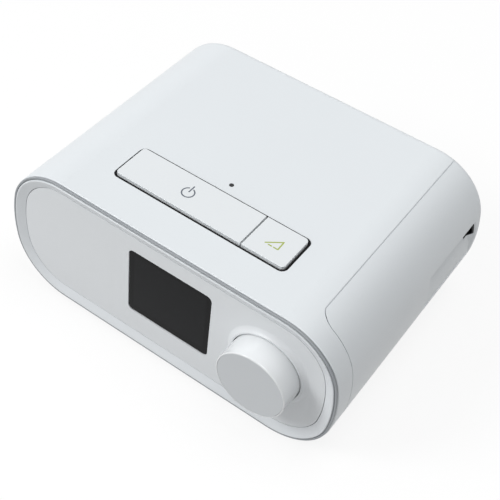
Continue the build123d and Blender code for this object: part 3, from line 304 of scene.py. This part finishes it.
def ink_ring(flat, centre, radius, gap):
    """Ink cover of a ring that is open between two angles, with round ends."""
    middle = math.radians((gap[0] + gap[1]) / 2)
    spread = math.radians((gap[1] - gap[0]) / 2)
    offset = flat.node("VectorMath", {"operation": "SUBTRACT"}, {0: flat, 1: Vector((*centre, 0)) * MM})
    reach = offset.node("VectorMath", {"operation": "LENGTH"}, {0: offset}, 1)
    toward = Vector((math.cos(middle), math.sin(middle), 0))
    ahead = offset.node("VectorMath", {"operation": "DOT_PRODUCT"}, {0: offset, 1: toward}, 1)
    closed = reach.maths("GREATER_THAN", reach * math.cos(spread), ahead)
    cover = inked(abs(reach - radius * MM)) * closed
    for angle in gap:
        turn = math.radians(angle)
        end = (centre[0] + radius * math.cos(turn), centre[1] + radius * math.sin(turn))
        cover = cover.maths("MAXIMUM", cover, ink_line(flat, end, (end[0] + INK_DOT, end[1])))
    return cover


def printed_button(name, colour, roughness):
    """Moulded button plastic with the power and ramp marks printed on it."""

    def build(place):
        flat = place.node("VectorMath", {"operation": "MULTIPLY"}, {0: place, 1: (1, 1, 0)})
        bar = [(POWER_MARK[0], POWER_MARK[1] + end) for end in POWER_BAR]
        power = ink_ring(flat, POWER_MARK, POWER_RING_R, POWER_GAP)
        power = power.maths("MAXIMUM", power, ink_line(flat, *bar))
        ramp = ink_line(flat, *RAMP_LINES[0])
        for line in RAMP_LINES[1:]:
            ramp = ramp.maths("MAXIMUM", ramp, ink_line(flat, *line))
        cover = place.noise(5000, 3, 0.6) * 0.12 + 0.88
        plastic = place.noise(18, 3).tint(*shades(colour, 0.012))
        printed = (ramp * cover).over((power * cover).over(plastic, POWER_INK), RAMP_INK)
        gloss = place.noise(60, 2) * 0.08 + (roughness - 0.04)
        fine = place.noise(2600, 2, 0.6)
        return {"Base_Color": printed, "Roughness": gloss, "Normal": fine.bump(0.00002, 0.35)}

    return finish(name, build, roughness)


WHITE = (0.725, 0.76, 0.785)
FINISHES = {
    "housing_white": moulded("housing_white", WHITE, 0.38),
    "bezel_white": moulded("bezel_white", (0.72, 0.75, 0.775), 0.34),
    "panel_grey_white": moulded("panel_grey_white", (0.73, 0.755, 0.775), 0.38),
    # grey trim ring between body and bezel, coloured darker than the body so the band reads as the shadow
    # gap there: painted shade
    "trim_grey": moulded("trim_grey", (0.30, 0.32, 0.34), 0.40),
    "screen_black": display_glass("screen_black"),
    "dial_white": moulded("dial_white", (0.78, 0.80, 0.815), 0.16, 0.000004, 0.008, coat=0.5),
    "dial_face": moulded("dial_face", (0.58, 0.605, 0.625), 0.34, 0.00001),
    "button_white": printed_button("button_white", (0.735, 0.765, 0.785), 0.36),
    "lens_black": moulded("lens_black", (0.012, 0.013, 0.016), 0.12, 0.000004),
    "inner_grey": moulded("inner_grey", (0.30, 0.315, 0.33), 0.5, 0.00003),
    # near-black inner plastic; as the liner behind the side intake it darkens the opening: painted shade
    # inside the inlet
    "inner_black": moulded("inner_black", (0.010, 0.0105, 0.012), 0.5, 0.00003, Specular_IOR_Level=0.2),
    "filter_blue": open_foam("filter_blue", (0.30, 0.44, 0.58), 700),
    "filter_white": fibre_mat("filter_white", (0.82, 0.83, 0.83)),
    "foam_grey": open_foam("foam_grey", (0.18, 0.185, 0.19), 500),
    "board_green": circuit_board("board_green", (0.012, 0.10, 0.045)),
    "component_black": moulded("component_black", (0.025, 0.025, 0.027), 0.5, 0.00003),
    "card_blue": moulded("card_blue", (0.03, 0.05, 0.12), 0.4),
    "rubber_grey": rubber("rubber_grey", (0.27, 0.28, 0.29)),
    "silicone": rubber("silicone", (0.66, 0.67, 0.68)),
    # black rubber; as the seal in the gaps round the top buttons it makes those gaps read dark: painted
    # shade in the gaps
    "gasket_black": rubber("gasket_black", (0.008, 0.008, 0.009), Specular_IOR_Level=0.15),
    "steel": drawn_metal("steel", (0.62, 0.62, 0.63), (300, 300, 9000), 0.28),
    "aluminium": drawn_metal("aluminium", (0.78, 0.79, 0.80), (9000, 400, 9000), 0.35),
    "copper": wound_copper("copper"),
}
# ---------------------------------------------------------------- finishes on the nodes
def set_finish(obj, slot):
    obj.data.materials.clear()
    obj.data.materials.append(FINISHES[slot])


for row in frame["record"]["subparts"]:
    set_finish(nodes[row["node"]], row["material_slot"])


# ---------------------------------------------------------------- stage, lights, camera


def seen_by_eye(tree):
    """1 for what the camera sees, straight or in gloss and glass; 0 for light on the object."""
    seen = Shade(tree).node("LightPath", {}, {}, "Is Camera Ray")
    for ray in ("Is Glossy Ray", "Is Transmission Ray"):
        seen = seen.maths("MAXIMUM", seen, Shade(tree).node("LightPath", {}, {}, ray))
    return seen


def paper(name):
    """Pale floor that reads as white to the eye and in reflections, and still takes shadows."""
    material = bpy.data.materials.new(name)
    material.use_nodes = True
    tree = material.node_tree
    shader = tree.nodes["Principled BSDF"]
    shader.inputs["Roughness"].default_value = 0.9
    shader.inputs["Specular IOR Level"].default_value = 0.0
    place = Shade(tree).node("TexCoord", {}, {}, 3)
    seen = seen_by_eye(tree)
    fibres = place.noise(30, 4).tint(*FLOOR_COLOURS)
    white = seen.over(fibres, (0.97, 0.97, 0.97, 1))
    tree.links.new(white.socket, shader.inputs["Base Color"])
    glow = place.node("Emission", {}, {"Color": (1, 1, 1, 1), "Strength": 1.0})
    mixed = place.node("MixShader", {}, {0: seen * FLOOR_GLOW, 1: Shade(tree, shader.outputs[0]), 2: glow})
    tree.links.new(mixed.socket, tree.nodes["Material Output"].inputs["Surface"])
    return material


def floor():
    mesh = bmesh.new()
    bmesh.ops.create_grid(mesh, x_segments=8, y_segments=8, size=FLOOR_HALF)
    data = bpy.data.meshes.new("floor")
    mesh.to_mesh(data)
    mesh.free()
    obj = bpy.data.objects.new("floor", data)
    bpy.context.scene.collection.objects.link(obj)
    obj.data.materials.append(paper("floor_paper"))


def studio_world():
    """Soft surround, brighter to the upper left, white to the eye."""
    world = bpy.data.worlds.new("studio")
    world.use_nodes = True
    tree = world.node_tree
    back = tree.nodes["Background"]
    back.inputs["Color"].default_value = (1, 1, 1, 1)
    way = Shade(tree).node("TexCoord", {}, {}, 0)
    toward = way.node("VectorMath", {"operation": "DOT_PRODUCT"}, {0: way, 1: SKY_SIDE}, 1)
    soft = toward * SKY_SLOPE + SKY_LEVEL
    strength = soft + seen_by_eye(tree) * (1.0 - soft)
    tree.links.new(strength.socket, back.inputs["Strength"])
    bpy.context.scene.world = world


def soft_lamp(name, place, size, power):
    lamp = bpy.data.lights.new(name, "AREA")
    lamp.shape = "DISK"
    lamp.size = size
    lamp.energy = power
    obj = bpy.data.objects.new(name, lamp)
    obj.location = Vector(place)
    obj.rotation_mode = "QUATERNION"
    obj.rotation_quaternion = (Vector(AIM) - Vector(place)).to_track_quat("-Z", "Y")
    bpy.context.scene.collection.objects.link(obj)


def camera():
    azimuth, elevation, roll = (math.radians(a) for a in CAMERA_TURN)
    back = Vector((math.sin(azimuth) * math.cos(elevation),
                   -math.cos(azimuth) * math.cos(elevation),
                   math.sin(elevation)))
    lens = bpy.data.cameras.new("camera")
    lens.lens = CAMERA_LENS
    lens.sensor_width = 36.0
    lens.shift_x, lens.shift_y = CAMERA_SHIFT
    obj = bpy.data.objects.new("camera", lens)
    obj.rotation_mode = "QUATERNION"
    level = (-back).to_track_quat("-Z", "Y")
    obj.rotation_quaternion = Matrix.Rotation(roll, 3, back).to_quaternion() @ level
    obj.location = Vector(CAMERA_PLACE) * MM
    bpy.context.scene.collection.objects.link(obj)
    bpy.context.scene.camera = obj


floor()
studio_world()
for name, (place, size, power) in LAMPS.items():
    soft_lamp(name, place, size, power)
camera()
bpy.context.scene.view_settings.view_transform = "Standard"
